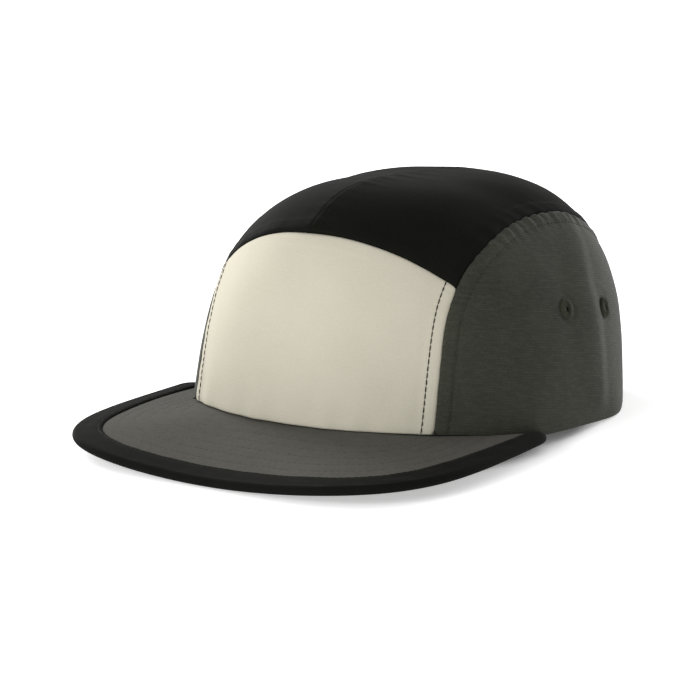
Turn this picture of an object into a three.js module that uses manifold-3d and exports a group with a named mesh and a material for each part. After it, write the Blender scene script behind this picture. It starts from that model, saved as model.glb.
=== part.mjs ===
// A five-panel cap, standing on its rim and the front of its peak as it does on a table.
// Millimetres. The peak points to -Y, +X is the wearer's left, +Z is up and the table is z = 0.
// A place on the crown is a bearing (round from the front) and a pitch (up from the rim).
import * as THREE from "three";
import { mergeVertices } from "three/addons/utils/BufferGeometryUtils.js";
import Module from "manifold-3d";

// Crown
const crownLength = 200;
const crownWidth = 168.5;
const crownHeight = 101.7;
const rimSquareness = 2.35;
const topSquareness = 2.33;
const clothWall = 1.6;
// Sections up the crown, by bearing in degrees: how square each is, and how far its top leans in
const crownSections = [
  { bearing: 0, squareness: 4.26, lean: 0.105 },
  { bearing: 45, squareness: 3.33, lean: 0.15 },
  { bearing: 90, squareness: 2.57, lean: -0.013 },
  { bearing: 135, squareness: 3.27, lean: 0.048 },
  { bearing: 180, squareness: 3.56, lean: 0.046 },
];
// The rim lies on the table behind and rises over the peak in front
const rimRise = 12.9;
const riseStartAngle = 118.8;
const riseEndAngle = 22.9;

// Seams. The middle strip is the front panel and the two top panels
const stripWidth = 112;
const stripSections = [
  { along: -0.8, width: 1.02 },
  { along: -0.66, width: 0.99 },
  { along: -0.4, width: 1.0 },
  { along: -0.05, width: 0.98 },
  { along: 0.36, width: 1.03 },
  { along: 0.82, width: 0.95 },
];
const frontSeamReach = 79.2;
const frontSeamCorner = 59.8;
const frontSeamCurve = 2;
const seamGap = 0.3;

// Opening at the back, with its strap and slide
const archWidth = 72;
const archHeight = 46;
const strapHeight = 20;
const strapWall = 1.5;
const strapLift = 3;
const strapOverlap = 12;
const slideLength = 12;
const slideRail = 2.2;
const slideFace = 1.3;

// Band inside the rim
const bandHeight = 30;
const bandWall = 1.2;
const bandGap = 0.5;

// Eyelets, by bearing and pitch in degrees
const eyeletPlaces = [
  { name: "front", bearing: 84.6, pitch: 28 },
  { name: "back", bearing: 104.8, pitch: 26.1 },
];
const eyeletWidth = 9;
const eyeletHole = 2.2;
const eyeletNeck = 3.6;
const eyeletFace = 0.8;

// Peak, measured over its binding
const peakWidth = 177;
const peakReach = 156.3;
const peakWidest = 52;
const peakSquareness = 4;
const peakSideLength = 60;
const hornPlace = 30;
const boardWall = 2;
const tapeWidth = 11.4;
const tapeSideWidth = 8.6;
const tapeNarrows = [45, 85];
const tapeWall = 1;
const sideLift = 4.7;
const sideLiftCurve = 2.5;
const tapePlace = 35;
const hornDropAngle = 88;

// How finely each piece is divided
const frontRows = 9;
const stripRows = 18;
const backRimSteps = 8;
const archSteps = 14;
const frontColumns = 14;
const domeRows = 12;
const sideRows = 7;
const bandColumns = 56;
const strapColumns = 20;
const peakColumns = 44;
const peakRows = 3;
const eyeletSides = 16;

const wasm = await Module();
wasm.setup();

const clearance = seamGap;
const halfGap = seamGap / 2;
const degrees = Math.PI / 180;

function mix(a, b, share) {
  return a + (b - a) * share;
}

function smooth(value, from, to) {
  const share = Math.min(1, Math.max(0, (value - from) / (to - from)));
  return share * share * (3 - 2 * share);
}

// The value between low and high where a falling function crosses zero
function crossing(falling, low, high) {
  let [from, to] = [low, high];
  for (let step = 0; step < 48; step += 1) {
    const middle = (from + to) / 2;
    if (falling(middle) > 0) from = middle;
    else to = middle;
  }
  return (from + to) / 2;
}

// The cosine series through one column of the crown's sections
function cosineSeries(column) {
  const last = crownSections.length - 1;
  return crownSections.map((_, order) => {
    let sum = 0;
    crownSections.forEach((section, k) => {
      const share = k === 0 || k === last ? 0.5 : 1;
      sum += share * section[column] * Math.cos(order * section.bearing * degrees);
    });
    return (sum * 2) / last * (order === 0 || order === last ? 0.5 : 1);
  });
}

const squarenessSeries = cosineSeries("squareness");
const leanSeries = cosineSeries("lean");

function around(series, bearing) {
  return series.reduce((sum, part, order) => sum + part * Math.cos(order * bearing), 0);
}

function rimHeight(bearing) {
  const turned = Math.abs(bearing) / degrees;
  return rimRise * (1 - smooth(turned, riseEndAngle, riseStartAngle));
}

// Distance out to a unit superellipse
function superRadius(angle, squareness) {
  const sum = Math.abs(Math.cos(angle)) ** squareness + Math.abs(Math.sin(angle)) ** squareness;
  return sum ** (-1 / squareness);
}

// How far out of the crown's axis the cloth is, as a share, and how high
function crownSection(bearing, pitch) {
  const squareness = around(squarenessSeries, bearing);
  const lean = around(leanSeries, bearing);
  const radius = superRadius(pitch, squareness);
  const rise = Math.sin(pitch) * radius;
  const plan = mix(rimSquareness, topSquareness, rise);
  const out = Math.cos(pitch) * radius * (1 - lean * rise) * superRadius(bearing, plan);
  return { out, rise };
}

function crownPoint(bearing, pitch) {
  const { out, rise } = crownSection(bearing, pitch);
  const x = (crownWidth / 2) * Math.sin(bearing) * out;
  const y = (-crownLength / 2) * Math.cos(bearing) * out;
  return new THREE.Vector3(x, y, mix(rimHeight(bearing), crownHeight, rise));
}

// The way out of the cloth: level at the rim, straight up at the middle of the top
function crownNormal(bearing, pitch) {
  const step = 0.4 * degrees;
  if (pitch > 90 * degrees - 2 * step) return new THREE.Vector3(0, 0, 1);
  const round = crownPoint(bearing + step, pitch).sub(crownPoint(bearing - step, pitch));
  const up = crownPoint(bearing, pitch + step).sub(crownPoint(bearing, Math.max(0, pitch - step)));
  const normal = round.cross(up).normalize();
  if (pitch < step) normal.setZ(0).normalize();
  return normal;
}

// The bearing and pitch of the cloth over a place in plan
function over(x, y) {
  const across = x / (crownWidth / 2);
  const along = -y / (crownLength / 2);
  const bearing = Math.atan2(across, along);
  const reach = Math.hypot(across, along);
  const pitch = crossing((angle) => crownSection(bearing, angle).out - reach, 0, 90 * degrees);
  return { bearing, pitch };
}

function pitchAtHeight(bearing, height) {
  return crossing((angle) => height - crownPoint(bearing, angle).z, 0, 90 * degrees);
}

function bearingOnRim(passed, low, high) {
  return crossing((angle) => passed(crownPoint(angle, 0)), low * degrees, high * degrees);
}

// Half the width of the middle strip, by how far along the crown it is
function stripHalf(y) {
  const along = y / (crownLength / 2);
  const first = stripSections[0];
  let width = first.width;
  stripSections.slice(1).forEach((section, k) => {
    const before = stripSections[k];
    if (along > before.along) {
      width = mix(before.width, section.width, smooth(along, before.along, section.along));
    }
  });
  return (width * stripWidth) / 2;
}

// The front panel's top seam in plan
function frontSeam(x) {
  const share = Math.abs(x) / (stripWidth / 2);
  return -mix(frontSeamReach, frontSeamCorner, share ** frontSeamCurve);
}

const cornerPlace = crossing((y) => frontSeam(stripHalf(y)) - y, -crownLength / 2, 0);

// Where the strip's edge meets the rim, in front and behind, for an edge moved out by some offset
function rimEnds(offset) {
  const front = bearingOnRim((p) => stripHalf(p.y) + offset - p.x, 10, 90);
  const back = bearingOnRim((p) => p.x - stripHalf(p.y) - offset, 90, 175);
  return { front, back };
}

// Places along the crown where every panel's edge has a corner, evenly spread along the seam
function seamStations() {
  const ends = rimEnds(0);
  const places = [crownPoint(ends.front, 0).y, crownPoint(ends.back, 0).y];
  const fine = 240;
  const line = [];
  for (let k = 0; k <= fine; k += 1) {
    const y = mix(places[0], places[1], (1 - Math.cos((k / fine) * Math.PI)) / 2);
    const spot = over(stripHalf(y), y);
    line.push({ y, point: crownPoint(spot.bearing, spot.pitch) });
  }
  const front = line.filter((sample) => sample.y <= cornerPlace);
  const rest = line.filter((sample) => sample.y >= cornerPlace);
  return [...evenly(front, frontRows).slice(0, -1), cornerPlace, ...evenly(rest, stripRows).slice(1)];
}

// The y of n + 1 points, evenly spread along a line of samples
function evenly(line, n) {
  const lengths = [0];
  line.slice(1).forEach((sample, k) => {
    lengths.push(lengths[k] + sample.point.distanceTo(line[k].point));
  });
  const total = lengths[lengths.length - 1];
  const found = [];
  for (let step = 0; step <= n; step += 1) {
    const wanted = (total * step) / n;
    const k = Math.max(1, lengths.findIndex((length) => length >= wanted - 1e-9));
    const share = (wanted - lengths[k - 1]) / (lengths[k] - lengths[k - 1]);
    found.push(mix(line[k - 1].y, line[k].y, share));
  }
  return found;
}

const stations = seamStations();

// Bearings and pitches down one edge of the strip, moved out by some offset
function stripEdge(offset) {
  const ends = rimEnds(offset);
  const inner = stations.slice(1, -1).map((y) => over(stripHalf(y) + offset, y));
  return [{ bearing: ends.front, pitch: 0 }, ...inner, { bearing: ends.back, pitch: 0 }];
}

// A closed body between an outer and an inner grid of points
function shell(outer, inner) {
  const positions = [];
  const known = new Map();
  const faces = [];
  function index(point) {
    const key = point.toArray().map((v) => Math.round(v * 1e4)).join();
    if (!known.has(key)) {
      known.set(key, positions.length / 3);
      positions.push(...point.toArray());
    }
    return known.get(key);
  }
  function quad(a, b, c, d) {
    const corners = [a, b, c, d].map(index);
    [[0, 1, 2], [0, 2, 3]].forEach((turn) => {
      const face = turn.map((k) => corners[k]);
      if (new Set(face).size === 3) faces.push(...face);
    });
  }
  const last = outer.length - 1;
  const top = outer[0].length - 1;
  for (let i = 0; i < last; i += 1) {
    for (let j = 0; j < top; j += 1) {
      quad(outer[i][j], outer[i + 1][j], outer[i + 1][j + 1], outer[i][j + 1]);
      quad(inner[i][j], inner[i][j + 1], inner[i + 1][j + 1], inner[i + 1][j]);
    }
    quad(inner[i][0], inner[i + 1][0], outer[i + 1][0], outer[i][0]);
    quad(outer[i][top], outer[i + 1][top], inner[i + 1][top], inner[i][top]);
  }
  for (let j = 0; j < top; j += 1) {
    quad(outer[0][j], outer[0][j + 1], inner[0][j + 1], inner[0][j]);
    quad(inner[last][j], inner[last][j + 1], outer[last][j + 1], outer[last][j]);
  }
  const geometry = new THREE.BufferGeometry();
  geometry.setAttribute("position", new THREE.Float32BufferAttribute(positions, 3));
  geometry.setIndex(faces);
  return geometry;
}

// Cloth over a grid of bearings and pitches, from one depth under the crown's skin to another
function cloth(grid, depth, wall) {
  function layer(under) {
    return grid.map((column) => column.map(({ bearing, pitch }) => {
      const normal = crownNormal(bearing, pitch);
      return crownPoint(bearing, pitch).addScaledVector(normal, -under);
    }));
  }
  return shell(layer(depth), layer(depth + wall));
}

function mirrored(geometry) {
  const copy = geometry.clone().scale(-1, 1, 1);
  const index = copy.index.array.slice();
  for (let k = 0; k < index.length; k += 3) {
    [index[k + 1], index[k + 2]] = [index[k + 2], index[k + 1]];
  }
  copy.setIndex([...index]);
  return copy;
}

function toSolid(geometry) {
  const bare = geometry.clone();
  bare.deleteAttribute("normal");
  bare.deleteAttribute("uv");
  const merged = mergeVertices(bare, 1e-4);
  return new wasm.Manifold(new wasm.Mesh({
    numProp: 3,
    vertProperties: merged.attributes.position.array,
    triVerts: new Uint32Array(merged.index.array),
  }));
}

function toGeometry(solid) {
  const mesh = solid.getMesh();
  const geometry = new THREE.BufferGeometry();
  geometry.setAttribute("position", new THREE.BufferAttribute(mesh.vertProperties, 3));
  geometry.setIndex(new THREE.BufferAttribute(mesh.triVerts, 1));
  return geometry;
}

// The front panel stands on the peak, between the strip's edges, up to the front seam
function frontPanel() {
  const edge = stripEdge(-halfGap).slice(0, frontRows);
  const cornerHalf = stripHalf(cornerPlace) - halfGap;
  const corner = over(cornerHalf, frontSeam(cornerHalf) - halfGap);
  const grid = [];
  for (let i = 0; i <= frontColumns; i += 1) {
    const side = (2 * i) / frontColumns - 1;
    const x = cornerHalf * side;
    const top = over(x, frontSeam(x) - halfGap);
    const column = edge.map((spot) => {
      const share = spot.pitch / corner.pitch;
      const turn = mix(side, top.bearing / corner.bearing, share);
      return { bearing: turn * spot.bearing, pitch: top.pitch * share };
    });
    grid.push([...column, top]);
  }
  return cloth(grid, 0, clothWall);
}

// The edge of one top panel: half the front seam, the strip's edge, and the rim to the middle of the back
function topPanelEdge() {
  const edge = stripEdge(-halfGap).slice(frontRows);
  const cornerHalf = stripHalf(cornerPlace) - halfGap;
  const front = [];
  for (let k = 0; k <= frontColumns / 2; k += 1) {
    const x = (2 * cornerHalf * k) / frontColumns;
    front.push(over(x, frontSeam(x) + halfGap));
  }
  const rimEnd = edge[edge.length - 1].bearing;
  const rim = [];
  for (let k = 1; k <= backRimSteps; k += 1) {
    rim.push({ bearing: mix(rimEnd, Math.PI, k / backRimSteps), pitch: 0 });
  }
  return [...front, ...edge.slice(1), ...rim];
}

// The opening: a round-topped hole from the table up, through the back of the strip
function archCutter() {
  const shape = new THREE.Shape();
  shape.moveTo(-archWidth / 2, -archHeight / 2).lineTo(archWidth / 2, -archHeight / 2);
  shape.absellipse(0, 0, archWidth / 2, archHeight, 0, Math.PI, false);
  const cutter = new THREE.ExtrudeGeometry(shape, {
    depth: crownLength / 2, bevelEnabled: false, curveSegments: archSteps,
  });
  return cutter.rotateX(90 * degrees).translate(0, 0.75 * crownLength, 0);
}

// A top panel runs from its edge up to the middle of the top, and stops short of the centre seam.
// The opening at the back is cut from it
function topPanel() {
  const grid = topPanelEdge().map((start) => {
    const fine = 60;
    const line = [];
    for (let k = 0; k <= fine; k += 1) {
      const pitch = mix(start.pitch, Math.PI / 2, k / fine);
      line.push({ y: pitch, point: crownPoint(start.bearing, pitch) });
    }
    return evenly(line, domeRows).map((pitch) => ({ bearing: start.bearing, pitch }));
  });
  const geometry = cloth(grid, 0, clothWall);
  const positions = geometry.attributes.position;
  for (let k = 0; k < positions.count; k += 1) {
    positions.setX(k, Math.max(positions.getX(k), halfGap));
  }
  return toGeometry(toSolid(geometry).subtract(toSolid(archCutter())));
}

// A side panel: nested arches between the rim and the strip's edge, with its eyelet holes
function sidePanel() {
  const edge = stripEdge(halfGap);
  const ends = [edge[0].bearing, edge[edge.length - 1].bearing];
  const grid = edge.map((spot, i) => {
    const column = [];
    const foot = mix(ends[0], ends[1], i / (edge.length - 1));
    for (let j = 0; j <= sideRows; j += 1) {
      const share = j / sideRows;
      column.push({ bearing: mix(foot, spot.bearing, share), pitch: spot.pitch * share });
    }
    return column;
  });
  let panel = toSolid(cloth(grid, 0, clothWall));
  eyeletPlaces.forEach((place) => {
    const width = eyeletNeck + 2 * clearance;
    const drill = new THREE.CylinderGeometry(width / 2, width / 2, 4 * clothWall, eyeletSides);
    const frame = eyeletFrame(place);
    drill.applyQuaternion(frame.turn).translate(...frame.point.toArray());
    panel = panel.subtract(toSolid(drill));
  });
  return toGeometry(panel);
}

function eyeletFrame(place) {
  const bearing = place.bearing * degrees;
  const pitch = place.pitch * degrees;
  const normal = crownNormal(bearing, pitch);
  const turn = new THREE.Quaternion().setFromUnitVectors(new THREE.Vector3(0, 1, 0), normal);
  return { point: crownPoint(bearing, pitch), turn };
}

// A sewn eyelet: a round face on the cloth, and a neck through it
function eyelet() {
  const hole = eyeletHole / 2;
  const neck = eyeletNeck / 2;
  const edge = eyeletWidth / 2;
  const face = clearance + eyeletFace;
  const profile = [
    [hole, -clothWall],
    [neck, -clothWall],
    [neck, clearance],
    [edge, clearance],
    [edge - eyeletFace / 3, face],
    [hole + eyeletFace / 3, face],
    [hole, clearance],
    [hole, -clothWall],
  ];
  const points = profile.map(([radius, height]) => new THREE.Vector2(radius, height));
  return new THREE.LatheGeometry(points, eyeletSides);
}

// Columns of cloth between two heights, at bearings from one to another
function bandGrid(from, to, columns, heights) {
  const grid = [];
  for (let i = 0; i <= columns; i += 1) {
    const bearing = mix(from, to, i / columns);
    const column = heights(bearing).map((height) => ({
      bearing,
      pitch: height > rimHeight(bearing) ? pitchAtHeight(bearing, height) : 0,
    }));
    grid.push(column);
  }
  return grid;
}

const inside = clothWall + bandGap;
const strapEnd = bearingOnRim((p) => p.x - archWidth / 2 - strapOverlap, 90, 180);

function sweatband() {
  const end = strapEnd - (2 * clearance) / crownLength - 2 * (bandWall / crownLength);
  const grid = bandGrid(-end, end, bandColumns, (bearing) => {
    const low = rimHeight(bearing);
    return [low, low + bandHeight / 2, low + bandHeight];
  });
  return cloth(grid, inside, bandWall);
}

function backStrap() {
  const low = strapLift;
  const grid = bandGrid(strapEnd, 2 * Math.PI - strapEnd, strapColumns, () => [low, low + strapHeight]);
  return cloth(grid, inside, strapWall);
}

// The slide is a plain frame round the strap
function slide() {
  const innerHalf = strapHeight / 2 + clearance;
  const outerHalf = innerHalf + slideRail;
  const innerDepth = strapWall / 2 + clearance;
  const outerDepth = innerDepth + slideFace;
  function frame(half, depth, path) {
    path.moveTo(-half, -depth).lineTo(half, -depth).lineTo(half, depth).lineTo(-half, depth).closePath();
    return path;
  }
  const shape = frame(outerHalf, outerDepth, new THREE.Shape());
  shape.holes.push(frame(innerHalf, innerDepth, new THREE.Path()));
  const geometry = new THREE.ExtrudeGeometry(shape, { depth: slideLength, bevelEnabled: false });
  return geometry.translate(0, 0, -slideLength / 2);
}

function slideFrame() {
  const low = crownPoint(Math.PI, pitchAtHeight(Math.PI, strapLift));
  const high = crownPoint(Math.PI, pitchAtHeight(Math.PI, strapLift + strapHeight));
  const up = high.clone().sub(low).normalize();
  const along = new THREE.Vector3(-1, 0, 0);
  const out = along.clone().cross(up);
  const middle = low.add(high).multiplyScalar(0.5).addScaledVector(out, -inside - strapWall / 2);
  const turn = new THREE.Quaternion().setFromRotationMatrix(new THREE.Matrix4().makeBasis(up, out, along));
  return { point: middle, turn };
}

// The board's outer edge and the line on the rim that faces it, from one horn to the other
const tapeStack = clearance + tapeWall;
const hornTurn = Math.acos(-(peakWidest - hornPlace) / peakSideLength);
const tapeTurn = Math.acos(-(peakWidest - tapePlace) / peakSideLength);
const hornBearing = bearingOnRim((p) => -hornPlace - p.y, 45, 90);

function peakEdge(turn) {
  const front = Math.cos(turn) > 0;
  const radius = front ? superRadius(turn, peakSquareness) : 1;
  const reach = front ? peakReach - peakWidest - tapeStack : peakSideLength;
  const x = (peakWidth / 2 - tapeStack) * Math.sin(turn) * radius;
  return new THREE.Vector2(x, -peakWidest - reach * Math.cos(turn) * radius);
}

function peakSection(u) {
  const turn = hornTurn * u;
  const bearing = hornBearing * u;
  const rim = crownPoint(bearing, 0).addScaledVector(crownNormal(bearing, 0), -clothWall);
  const edge = peakEdge(turn);
  const step = 0.5 * degrees;
  const run = peakEdge(turn + step).sub(peakEdge(turn - step)).normalize();
  const out = new THREE.Vector3(run.y, -run.x, 0);
  const rimMiddle = rim.z - clearance - boardWall / 2;
  const share = Math.min(1, Math.abs(edge.x) / (peakWidth / 2));
  const lift = sideLift * (1 - (1 - share * share) ** sideLiftCurve);
  const edgeMiddle = boardWall / 2 + tapeStack + lift;
  const tucked = smooth(Math.abs(turn), hornDropAngle * degrees, hornTurn);
  const inner = new THREE.Vector3(rim.x, rim.y, rimMiddle);
  const outer = new THREE.Vector3(edge.x, edge.y, mix(edgeMiddle, rimMiddle, tucked));
  const depth = outer.clone().sub(inner).setZ(0).dot(out);
  const [from, to] = tapeNarrows;
  const width = mix(tapeWidth, tapeSideWidth, smooth(Math.abs(turn), from * degrees, to * degrees));
  const tapeShare = Math.max((clothWall + 2 * clearance) / depth, 1 - (width - tapeStack) / depth);
  return { inner, outer, out, tape: inner.clone().lerp(outer, tapeShare) };
}

// Sections where the tape is, from one of its ends to the other
function tapeSections() {
  const sections = [];
  for (let i = 0; i <= peakColumns; i += 1) {
    sections.push(peakSection(((2 * i) / peakColumns - 1) * (tapeTurn / hornTurn)));
  }
  return sections;
}

function raised(point, height) {
  return point.clone().setZ(point.z + height);
}

function peakBoard() {
  const rows = Array.from({ length: peakRows + 1 }, (_, j) => j / peakRows);
  function layer(height) {
    return [peakSection(-1), ...tapeSections(), peakSection(1)].map(({ inner, outer }) => (
      rows.map((share) => raised(outer.clone().lerp(inner, share), height))
    ));
  }
  return shell(layer(boardWall / 2), layer(-boardWall / 2));
}

// The tape is folded over the board's edge, round on the outside
function peakBinding() {
  const hollow = boardWall / 2 + clearance;
  const full = hollow + tapeWall;
  const edgeShares = [-0.6, 0.6];
  const outerGrid = [];
  const innerGrid = [];
  tapeSections().forEach(({ outer, out, tape }) => {
    const wall = outer.clone().addScaledVector(out, clearance);
    const face = wall.clone().addScaledVector(out, tapeWall);
    const rounded = edgeShares.map((share) => raised(face, full * share));
    const straight = edgeShares.map((share) => raised(wall, hollow * share));
    const ends = (height) => [tape, wall].map((point) => raised(point, height));
    outerGrid.push([...ends(-full), ...rounded, ...ends(full).reverse()]);
    innerGrid.push([...ends(-hollow), ...straight, ...ends(hollow).reverse()]);
  });
  return shell(outerGrid, innerGrid);
}

const finishes = {
  cream: { color: 0xdad4c1, roughness: 0.85 },
  black: { color: 0x1a1a18, roughness: 0.8 },
  olive: { color: 0x45463f, roughness: 0.9 },
  grey: { color: 0x56544b, roughness: 0.9 },
  plastic: { color: 0x1c1c1c, roughness: 0.45 },
};

const cap = new THREE.Group();

function add(name, geometry, finish, frame) {
  const material = new THREE.MeshStandardMaterial({ ...finishes[finish], metalness: 0 });
  const mesh = new THREE.Mesh(geometry, material);
  mesh.name = name;
  if (frame) {
    mesh.position.copy(frame.point);
    mesh.quaternion.copy(frame.turn);
  }
  cap.add(mesh);
  return mesh;
}

add("front_panel", frontPanel(), "cream");
const topHalf = topPanel();
add("top_panel_left", topHalf, "black");
add("top_panel_right", mirrored(topHalf), "black");
const side = sidePanel();
add("side_panel_left", side, "olive");
add("side_panel_right", mirrored(side), "olive");
add("peak", peakBoard(), "grey");
add("peak_binding", peakBinding(), "black");
add("sweatband", sweatband(), "black");
add("back_strap", backStrap(), "black");
add("strap_slide", slide(), "plastic", slideFrame());
eyeletPlaces.forEach((place) => {
  add(`eyelet_left_${place.name}`, eyelet(), "olive", eyeletFrame(place));
  const opposite = { ...place, bearing: -place.bearing };
  add(`eyelet_right_${place.name}`, eyelet(), "olive", eyeletFrame(opposite));
});

// The origin is on the table, under the middle of the cap
const middle = new THREE.Box3().setFromObject(cap).getCenter(new THREE.Vector3());
cap.position.set(0, -middle.y, 0);

export default cap;
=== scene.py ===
import math

import bmesh
import bpy
import numpy as np
from mathutils import Matrix, Vector


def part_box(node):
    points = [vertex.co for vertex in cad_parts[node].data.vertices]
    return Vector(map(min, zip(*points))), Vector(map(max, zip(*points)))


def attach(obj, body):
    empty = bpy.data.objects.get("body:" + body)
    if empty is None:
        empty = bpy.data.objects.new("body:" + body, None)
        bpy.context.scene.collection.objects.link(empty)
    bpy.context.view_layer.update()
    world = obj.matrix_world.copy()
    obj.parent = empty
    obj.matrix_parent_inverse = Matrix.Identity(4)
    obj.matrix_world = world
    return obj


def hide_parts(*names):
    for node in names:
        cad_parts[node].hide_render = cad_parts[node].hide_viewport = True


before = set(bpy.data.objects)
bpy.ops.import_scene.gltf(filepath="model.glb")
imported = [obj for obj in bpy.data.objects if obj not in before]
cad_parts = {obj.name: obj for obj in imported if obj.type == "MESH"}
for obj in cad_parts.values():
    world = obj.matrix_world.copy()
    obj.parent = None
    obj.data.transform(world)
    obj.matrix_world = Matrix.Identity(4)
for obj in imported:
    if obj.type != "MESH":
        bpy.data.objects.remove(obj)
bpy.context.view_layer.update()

# Camera. It looks down a little at the cap, from in front and from the wearer's left, through a
# long lens. Lengths are millimetres about the middle of the crown until a mesh is made.
MM = 0.001
CROWN_LENGTH = 200.0
CAMERA_AZIMUTH = math.radians(32.15)
CAMERA_ELEVATION = math.radians(11.9)
CAMERA_DISTANCE = 907.5
CAMERA_LENS = 110.1
CAMERA_SENSOR = 36.0
LOOKS_AT = Vector((0.0, -20.0, 45.0))
LOOKS_RIGHT = -16.35
LOOKS_UP = -16.24

crown_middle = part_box("front_panel")[0].y / MM + CROWN_LENGTH / 2

camera_back = Vector((
    math.sin(CAMERA_AZIMUTH) * math.cos(CAMERA_ELEVATION),
    -math.cos(CAMERA_AZIMUTH) * math.cos(CAMERA_ELEVATION),
    math.sin(CAMERA_ELEVATION),
))
camera_right = Vector((math.cos(CAMERA_AZIMUTH), math.sin(CAMERA_AZIMUTH), 0.0))
camera_up = camera_back.cross(camera_right)
camera_target = LOOKS_AT + camera_right * LOOKS_RIGHT + camera_up * LOOKS_UP
camera_place = camera_target + camera_back * CAMERA_DISTANCE + Vector((0.0, crown_middle, 0.0))

camera_data = bpy.data.cameras.new("camera")
camera_data.lens = CAMERA_LENS
camera_data.sensor_width = CAMERA_SENSOR
camera_data.clip_start = 0.01
camera_data.dof.use_dof = False
camera = bpy.data.objects.new("camera", camera_data)
turn = Matrix((camera_right, camera_up, camera_back)).transposed().to_4x4()
camera.matrix_world = Matrix.Translation(camera_place * MM) @ turn
bpy.context.scene.collection.objects.link(camera)
bpy.context.scene.camera = camera


# Front panel. Smooth brushed cotton, cut in one piece and sewn between the two side panels. Its
# sides are turned under and topstitched with black thread, and its foot is pulled into the seam
# with the peak.
CROWN_WIDTH = 168.5
CROWN_HEIGHT = 101.7
RIM_SQUARENESS = 2.35
TOP_SQUARENESS = 2.33
SECTION_BEARINGS = np.radians([0, 45, 90, 135, 180])
SECTION_SQUARENESS = [4.26, 3.33, 2.57, 3.27, 3.56]
SECTION_LEAN = [0.105, 0.15, -0.013, 0.048, 0.046]
RIM_RISE = 12.9
RISE_END = 22.9
RISE_START = 118.8
STRIP_WIDTH = 112.0
STRIP_ALONG = [-0.8, -0.66, -0.4, -0.05, 0.36, 0.82]
STRIP_SHARES = [1.02, 0.99, 1.0, 0.98, 1.03, 0.95]
FRONT_SEAM_REACH = 79.2
FRONT_SEAM_CORNER = 59.8
FRONT_SEAM_CURVE = 2.0
EDGE_STEPS = 700
EDGE_INSET = 1e-4
CLOTH_WALL = 1.4
THINNEST_CLOTH = 0.4
SEAM_LAP = 0.05
SEAM_DEPTH = 0.7
SEAM_ROLL = 0.55
ALLOWANCE = 6.6
ALLOWANCE_LIFT = 0.4
ALLOWANCE_LIFT_TOP = 0.3
FRONT_TOPSTITCH = 5.2
STITCH_PITCH = 2.7
STITCH_LENGTH = 2.66
STITCH_TAPER = 0.75
STITCH_SINK = 0.45
STITCH_SIDES = 6
STITCH_RINGS = 5
THREAD = 0.5
FOOT_ROLL = 1.2
FOOT_TUCK = 0.35
FIBRE = 0.9
FRONT_COLUMNS = 140
FRONT_ROWS = 92


def mix(a, b, share):
    return a + (b - a) * share


def smooth(value, start, end):
    share = np.clip((value - start) / (end - start), 0.0, 1.0)
    return share * share * (3.0 - 2.0 * share)


def cosine_series(values):
    orders = np.arange(len(values))
    return np.linalg.solve(np.cos(np.outer(SECTION_BEARINGS, orders)), values)


squareness_series = cosine_series(SECTION_SQUARENESS)
lean_series = cosine_series(SECTION_LEAN)


def around(series, bearing):
    return sum(part * np.cos(order * bearing) for order, part in enumerate(series))


def rim_height(bearing):
    turned = np.degrees(np.arccos(np.cos(bearing)))
    return RIM_RISE * (1.0 - smooth(turned, RISE_END, RISE_START))


def super_radius(angle, squareness):
    total = np.abs(np.cos(angle)) ** squareness + np.abs(np.sin(angle)) ** squareness
    return total ** (-1.0 / squareness)


def crown_section(bearing, pitch):
    """How far out of the crown's axis the cloth is, as a share, and how high."""
    radius = super_radius(pitch, around(squareness_series, bearing))
    rise = np.sin(pitch) * radius
    plan = super_radius(bearing, mix(RIM_SQUARENESS, TOP_SQUARENESS, rise))
    return np.cos(pitch) * radius * (1.0 - around(lean_series, bearing) * rise) * plan, rise


def crown_point(bearing, pitch):
    bearing, pitch = np.broadcast_arrays(bearing, pitch)
    out, rise = crown_section(bearing, pitch)
    x = CROWN_WIDTH / 2 * np.sin(bearing) * out
    y = -CROWN_LENGTH / 2 * np.cos(bearing) * out
    return np.stack([x, y, mix(rim_height(bearing), CROWN_HEIGHT, rise)], -1)


def over(x, y):
    """Bearing and pitch of the cloth over a place in plan."""
    x, y = np.broadcast_arrays(x, y)
    across, along = x / (CROWN_WIDTH / 2), -y / (CROWN_LENGTH / 2)
    bearing, reach = np.arctan2(across, along), np.hypot(across, along)
    low, high = np.zeros_like(reach), np.full_like(reach, math.pi / 2)
    for _ in range(44):
        middle = (low + high) / 2
        beyond = crown_section(bearing, middle)[0] > reach
        low, high = np.where(beyond, middle, low), np.where(beyond, high, middle)
    return bearing, (low + high) / 2


def strip_half(y):
    """Half the width of the middle strip, by how far along the crown it is."""
    along = np.asarray(y) / (CROWN_LENGTH / 2)
    share = np.full_like(along, STRIP_SHARES[0])
    for k in range(1, len(STRIP_ALONG)):
        eased = smooth(along, STRIP_ALONG[k - 1], STRIP_ALONG[k])
        between = mix(STRIP_SHARES[k - 1], STRIP_SHARES[k], eased)
        share = np.where(along > STRIP_ALONG[k - 1], between, share)
    return share * STRIP_WIDTH / 2


def front_seam(x):
    share = (np.abs(x) / (STRIP_WIDTH / 2)) ** FRONT_SEAM_CURVE
    return -mix(FRONT_SEAM_REACH, FRONT_SEAM_CORNER, share)


def lengths_along(points):
    """Running length of each line of points."""
    steps = np.linalg.norm(np.diff(points, axis=-2), axis=-1)
    return np.concatenate([np.zeros_like(steps[..., :1]), np.cumsum(steps, -1)], -1)


def evenly(line, count, *columns):
    """Columns of numbers along one line of points, taken again at even steps."""
    length = lengths_along(line)
    wanted = np.linspace(0, length[-1], count + 1)
    return [np.interp(wanted, length, column) for column in columns]


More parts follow.
